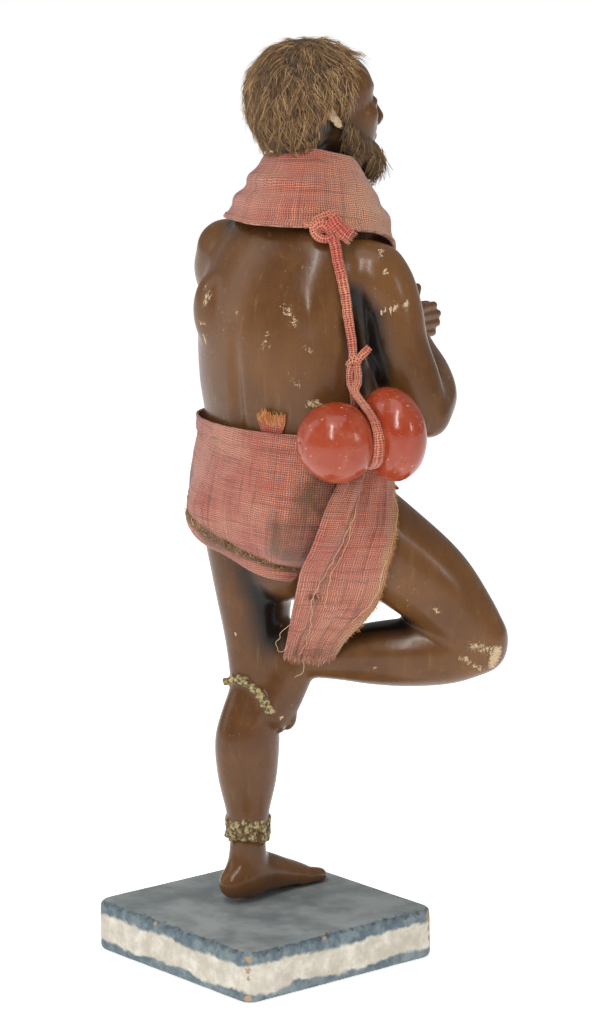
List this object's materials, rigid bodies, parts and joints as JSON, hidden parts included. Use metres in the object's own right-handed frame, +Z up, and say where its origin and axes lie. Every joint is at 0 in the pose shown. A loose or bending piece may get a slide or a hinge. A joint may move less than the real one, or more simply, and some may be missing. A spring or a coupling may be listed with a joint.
{
  "type": "clay figurine",
  "caption": "Painted clay figurine of an ascetic balancing on one leg on a square plinth, dressed in cloth, with a double gourd hanging from a shoulder strap",
  "frame": {"origin": "middle of the plinth's underside", "axes": "+Z up along the figure's height; the plinth's sides lie along X and Y; the figure faces -Y, turned about ten degrees to its left"},
  "size_m": [0.1114, 0.116, 0.2934],
  "materials": {
    "plinth_paint": "worn off-white and blue-grey paint on clay",
    "brown_clay": "glossy brown paint on clay",
    "straw_fibre": "glued straw-brown fibre",
    "pink_cloth": "faded pink muslin",
    "coral_cloth": "coral muslin strip",
    "orange_lacquer": "glossy orange-red lacquer"
  },
  "bodies": {
    "root": {"plinth": "plinth_paint", "figure": "brown_clay", "hair": "straw_fibre", "beard": "straw_fibre", "scarf": "pink_cloth", "loincloth": "pink_cloth", "flap": "pink_cloth", "tucked_end": "pink_cloth", "double_gourd": "orange_lacquer", "strap": "coral_cloth", "strap_loop": "coral_cloth", "strap_knot_top": "coral_cloth", "strap_knot_low": "coral_cloth"}
  },
  "joints": []
}
